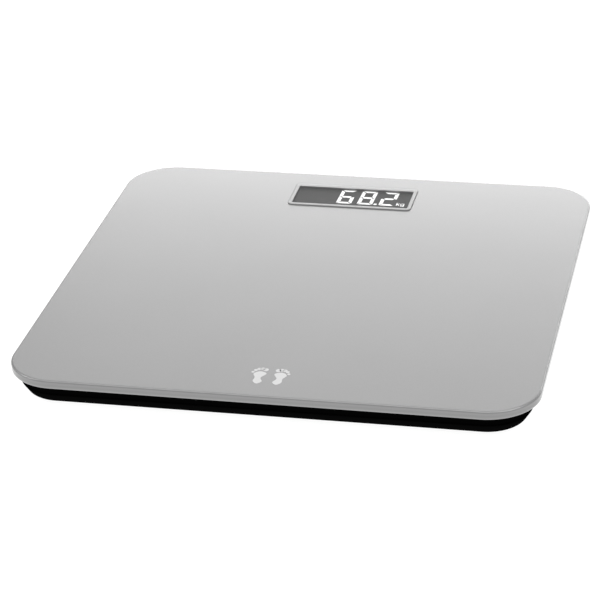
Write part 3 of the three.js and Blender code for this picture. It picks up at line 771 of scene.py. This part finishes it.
def add_digits():
    """The reading and its unit, as thin plates on the display glass."""
    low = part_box("lcd_panel")[1].z - SUNK
    high = low + PLATE_THICKNESS
    outlines = segment_outlines(DIGIT_WIDTH, DIGIT_HEIGHT, STROKE, MITRE)
    base = display.y + BASELINE
    for place, digit in enumerate("682"):
        left = FIRST_DIGIT + place * PITCH + (TENTHS_SHIFT if place == 2 else 0)

        def build(made):
            for segment in SEGMENTS[digit]:
                outline = [
                    Vector((left + x + SLANT * (y - DIGIT_HEIGHT), base + y)) for x, y in outlines[segment]
                ]
                plate(made, outline, low, high)

        mesh = mesh_from(f"digit_{place + 1}", build, 20)
        new_piece(f"digit_{place + 1}", mesh, "scale", ["segment"])

    def build_point(made):
        place = Vector((POINT_ASIDE, base + POINT_ABOVE))
        plate(made, [place + p for p in rounded(POINT_SIZE, POINT_SIZE, POINT_CORNER, 4)], low, high)

    new_piece("decimal_point", mesh_from("decimal_point", build_point), "scale", ["segment"])
    add_unit(Vector((UNIT_ASIDE, base + UNIT_ABOVE)), low, high)


def stroke_outline(start, end, width):
    """A straight stroke between two points, as an outline."""
    along = (end - start).normalized() * width / 2
    aside = Vector((-along.y, along.x))
    return [start - along - aside, end + along - aside, end + along + aside, start - along + aside]


def add_unit(corner, low, high):
    """The letters of the unit, as short strokes."""

    def build(made):
        for stroke in UNIT_STROKES:
            start, end = (corner + Vector(point) * MM for point in stroke)
            plate(made, stroke_outline(start, end, UNIT_STROKE), low, high)

    new_piece("unit_letters", mesh_from("unit_letters", build), "scale", ["segment"])


# ---------------------------------------------------------------- tray

SKIRT_OUTSIDE = (  # inset from the glass's outline and height above the floor, in mm
    (11.6, 3.36), (11, 3.3), (9.5, 3.28), (9.1, 3.36), (8.66, 3.56), (8.28, 3.86), (7.93, 4.3), (7.62, 4.78),
    (5.22, 8.56), (4.98, 8.96), (4.88, 9.2), (4.95, 9.38), (5.2, 9.5), (5.46, 9.66), (5.44, 9.84),
    (2.56, 14.7), (2.5, 14.85), (2.62, 14.98),
)
SKIRT_INSIDE = ((2.9, 14.9), (5.75, 9.7), (5.2, 9.15), (8.3, 4.5), (9, 3.85), (11.6, 3.5))


def add_tray_skirt():
    """The outer skin of the tray's wall, with a soft lip half-way up and a rounded lower edge."""
    width, depth = glass_high.x - glass_low.x, glass_high.y - glass_low.y

    def build(made):
        rings = []
        for inset, z in SKIRT_OUTSIDE + SKIRT_INSIDE:
            narrower = 2 * inset * MM
            outline = rounded(width - narrower, depth - narrower, CORNER - inset * MM, CORNER_STEPS)
            rings.append(ring(made, outline, z * MM))
        skin(made, rings, closed=True)

    mesh = mesh_from("tray_skirt", build, 50)
    new_piece("tray_skirt", mesh, "scale", ["skirt"])


# ---------------------------------------------------------------- feet and small pieces

PLATE_EDGE, GRIP_EDGE, NODE_EDGE_ANGLE = 0.15 * MM, 0.12 * MM, 40
PAD_EDGE = 0.5 * MM
GROOVE_PLACES = (0.45, 0.72)  # shares of the pad's radius
GROOVE_WIDTH, GROOVE_DEPTH, GROOVE_SLOPE = 1.4 * MM, 0.6 * MM, 0.3 * MM
CUP_RADIUS = 21.5 * MM
CUP_EDGE = 0.6 * MM
CUP_WALL = 2 * MM
CUP_FLOOR = 1.75 * MM
CUP_CHAMFER = 0.2 * MM
PAD_SIDE_ROOM, PAD_TOP_ROOM = 0.2 * MM, 0.05 * MM
TRAY_FLOOR = 5.4 * MM  # height of its upper face
FLANGE_PLAY, FLANGE_THICKNESS = 0.2 * MM, 1.2 * MM


def add_feet():
    for foot in FEET:
        body = f"foot_{foot}"
        add_pad(foot, body)
        add_cup(foot, body)
        add_load_cell(foot)


def add_pad(foot, body):
    """A rubber pad with a rounded edge and two rings on its sole."""
    node = f"foot_pad_{foot}"
    low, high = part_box(node)
    centre, radius = centre_of(node), (high.x - low.x) / 2

    def build(made):
        profile = [(0, low.z)]
        for share in GROOVE_PLACES:
            inner, outer = share * radius, share * radius + GROOVE_WIDTH
            profile += [(inner, low.z), (inner + GROOVE_SLOPE, low.z + GROOVE_DEPTH),
                        (outer - GROOVE_SLOPE, low.z + GROOVE_DEPTH), (outer, low.z)]
        profile += [(radius - PAD_EDGE + x, low.z + PAD_EDGE + z) for x, z in fillet(PAD_EDGE, 4, -90, 0)]
        profile += [(radius, high.z), (0, high.z)]
        lathe(made, profile, (centre.x, centre.y))

    piece = new_piece(f"pad_{foot}", mesh_from(f"pad_{foot}", build), body, ["rubber"])
    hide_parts(node)


def add_cup(foot, body):
    """The black cup around the pad, with a flange that keeps it in the tray."""
    node = f"foot_cup_{foot}"
    low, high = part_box(node)
    pad_low, pad_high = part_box(f"foot_pad_{foot}")
    centre, flange = centre_of(node), (high.x - low.x) / 2
    flange_low = TRAY_FLOOR + FLANGE_PLAY
    flange_high = flange_low + FLANGE_THICKNESS
    room, room_top = (pad_high.x - pad_low.x) / 2 + PAD_SIDE_ROOM, pad_high.z + PAD_TOP_ROOM
    inside, floor = CUP_RADIUS - CUP_WALL, room_top + CUP_FLOOR

    def build(made):
        profile = [(0, room_top), (room, room_top), (room, low.z + CUP_CHAMFER), (room + CUP_CHAMFER, low.z)]
        profile += [(CUP_RADIUS - CUP_EDGE + x, low.z + CUP_EDGE + z) for x, z in fillet(CUP_EDGE, 4, -90, 0)]
        profile += [(CUP_RADIUS, flange_low), (flange, flange_low), (flange, flange_high),
                    (inside, flange_high), (inside, floor), (0, floor)]
        lathe(made, profile, (centre.x, centre.y))

    piece = new_piece(f"cup_{foot}", mesh_from(f"cup_{foot}", build, 35), body, ["black"])
    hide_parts(node)


def add_load_cell(foot):
    """The stamped steel cell, as one rigid piece on the scale's body, with rounded edges."""
    node = f"load_cell_{foot}"
    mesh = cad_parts[node].data.copy()
    mesh.materials.clear()
    piece = new_piece(f"cell_plate_{foot}", mesh, "scale", ["dull_steel"])
    round_edges(piece, PLATE_EDGE)
    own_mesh(piece)
    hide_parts(node)


def bar(made, low, high, round_by=0):
    """A flat bar between two corners, with its own corners rounded if round_by is given."""
    middle, size = (low + high) / 2, high - low
    if round_by:
        outline = [p + middle.xy for p in rounded(size.x, size.y, round_by, 4)]
    else:
        outline = [Vector(p) for p in ((low.x, low.y), (high.x, low.y), (high.x, high.y), (low.x, high.y))]
    plate(made, outline, low.z, high.z)


LABEL_MARGIN, LABEL_LINE, LABEL_ROW = 2.5 * MM, 0.35 * MM, 10 * MM
LABEL_COLUMNS = (-12 * MM, 16 * MM)
INK = 0.015 * MM  # how far the print stands out, and how far it is sunk


def add_label_print():
    """A printed frame with ruled lines on the rating label, without any lettering."""
    low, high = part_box("rating_label")
    left, right = low.x + LABEL_MARGIN, high.x - LABEL_MARGIN
    front, back = low.y + LABEL_MARGIN, high.y - LABEL_MARGIN

    def build(made):
        rows = [front, front + LABEL_ROW, front + 2 * LABEL_ROW, back - LABEL_LINE]
        bars = [(left, y, right, y + LABEL_LINE) for y in rows]
        bars += [(x, front, x + LABEL_LINE, back) for x in (left, right - LABEL_LINE)]
        bars += [(x, front, x + LABEL_LINE, front + 2 * LABEL_ROW) for x in LABEL_COLUMNS]
        for x0, y0, x1, y1 in bars:
            bar(made, Vector((x0, y0, low.z - INK)), Vector((x1, y1, low.z + INK)))

    new_piece("label_print", mesh_from("label_print", build), "scale", ["print"])


GRIP_BARS = 4
GRIP_FROM_EDGE, GRIP_PITCH = 10 * MM, 2.2 * MM
GRIP_HALF_LENGTH, GRIP_SHORTER = 6 * MM, 1.4 * MM  # of the first bar, and how much each next one loses
GRIP_HALF_WIDTH, GRIP_ROUNDING = 0.4 * MM, 0.38 * MM
GRIP_PROUD = 0.3 * MM  # how far a bar stands out, and how far it is sunk


def add_door_grip():
    """Raised bars for the thumb on the battery door, beside its notch."""
    low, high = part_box("battery_door")

    def build(made):
        for row in range(GRIP_BARS):
            middle = Vector((0, high.y - GRIP_FROM_EDGE - GRIP_PITCH * row, low.z))
            reach = Vector((GRIP_HALF_LENGTH - GRIP_SHORTER * row, GRIP_HALF_WIDTH, GRIP_PROUD))
            bar(made, middle - reach, middle + reach, GRIP_ROUNDING)

    piece = new_piece("door_grip", mesh_from("door_grip", build), "battery_door", ["black"])
    round_edges(piece, GRIP_EDGE)


def dress(node, width, look):
    """Gives a CAD node its material, and rounded edges of a width in mm unless that is 0."""
    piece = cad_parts[node]
    piece.data.materials.clear()
    piece.data.materials.append(LOOKS[look])
    if width:
        modifier = round_edges(piece, width * MM)
        modifier.angle_limit = math.radians(NODE_EDGE_ANGLE)
        modifier.harden_normals = True


NODE_LOOKS = {  # width of the rounded edges in mm, and look
    "base_tray": (0, "black"),
    "rating_label": (0, "label"),
    "platform_tape": (0, "tape"),
    "display_tape": (0, "tape"),
    "display_window": (0.06, "window"),
    "lcd_panel": (0, "lcd"),
    "backlight_guide": (0.1, "acrylic"),
    "backlight_led": (0.1, "white"),
    "zebra_connector": (0.1, "rubber"),
    "lcd_frame": (0, "black"),
    "main_board": (0, "board"),
    "controller_chip": (0, "chip"),
    "amplifier_chip": (0, "chip"),
    "board_capacitor": (0.2, "steel"),
    "crystal": (0.2, "steel"),
    "unit_switch_body": (0, "chip"),
    "unit_switch_plunger": (0.1, "white"),
    "unit_button": (0.2, "black"),
    "coin_cell": (0, "steel"),
    "contact_negative": (0, "steel"),
    "contact_positive": (0, "steel"),
    "battery_door": (0.2, "black"),
}


def dress_nodes():
    for node, (width, look) in NODE_LOOKS.items():
        dress(node, width, look)
    for number in range(1, 5):
        dress(f"board_screw_{number}", 0.15, "steel")
    for foot in FEET:
        dress(f"strain_gauge_{foot}", 0.05, "white")
        dress(f"cell_cover_{foot}", 0, "black")
        dress(f"cell_lead_{foot}", 0, "white")
        dress(f"cover_screw_a_{foot}", 0.15, "steel")
        dress(f"cover_screw_b_{foot}", 0.15, "steel")


# ---------------------------------------------------------------- studio

FLOOR_TONE, FLOOR_GLOW = 0.2, 0.95
FLOOR_REACH = 6  # metres from its middle to each side


def add_floor():
    """A white floor that gives off most of its light itself, so that it shows almost no shadow."""
    mesh = bpy.data.meshes.new("floor")
    made = bmesh.new()
    bmesh.ops.create_grid(made, x_segments=1, y_segments=1, size=FLOOR_REACH)
    made.to_mesh(mesh)
    made.free()
    floor = bpy.data.objects.new("floor", mesh)
    bpy.context.scene.collection.objects.link(floor)
    material = bpy.data.materials.new("floor")
    material.use_nodes = True
    shader = material.node_tree.nodes["Principled BSDF"]
    shader.inputs["Base Color"].default_value = (FLOOR_TONE, FLOOR_TONE, FLOOR_TONE, 1)
    shader.inputs["Roughness"].default_value = 0.9
    shader.inputs["Specular IOR Level"].default_value = 0.1
    shader.inputs["Emission Color"].default_value = (1, 1, 1, 1)
    shader.inputs["Emission Strength"].default_value = FLOOR_GLOW
    mesh.materials.append(material)


def add_softbox(name, place, width, depth, power, target=(0, 0, 0)):
    data = bpy.data.lights.new(name, "AREA")
    data.shape = "RECTANGLE"
    data.size = width
    data.size_y = depth
    data.energy = power
    light = bpy.data.objects.new(name, data)
    light.location = place
    light.rotation_euler = (Vector(target) - Vector(place)).to_track_quat("-Z", "Y").to_euler()
    bpy.context.scene.collection.objects.link(light)


SURROUNDINGS = 0.95  # strength of the even light from all sides


def add_studio():
    world = bpy.data.worlds.new("studio")
    world.use_nodes = True
    background = world.node_tree.nodes["Background"]
    background.inputs["Color"].default_value = (1, 1, 1, 1)
    background.inputs["Strength"].default_value = SURROUNDINGS
    bpy.context.scene.world = world
    add_softbox("overhead", (0, -0.4, 3.5), width=3.0, depth=3.0, power=35, target=(0, -0.4, 0))
    add_softbox("behind", (0.22, 2.9, 0.72), width=3.0, depth=0.9, power=27)
    add_softbox("left", (-1.7, -0.33, 1.37), width=0.9, depth=0.45, power=8.5)
    add_softbox("right", (1.36, -0.29, 1.7), width=0.9, depth=0.45, power=8.5)
    bpy.context.scene.view_settings.view_transform = "Standard"


# ---------------------------------------------------------------- the whole scene

add_glass()
add_print()
add_bezel()
add_digits()
add_tray_skirt()
add_feet()
add_label_print()
add_door_grip()
dress_nodes()
add_floor()
add_studio()
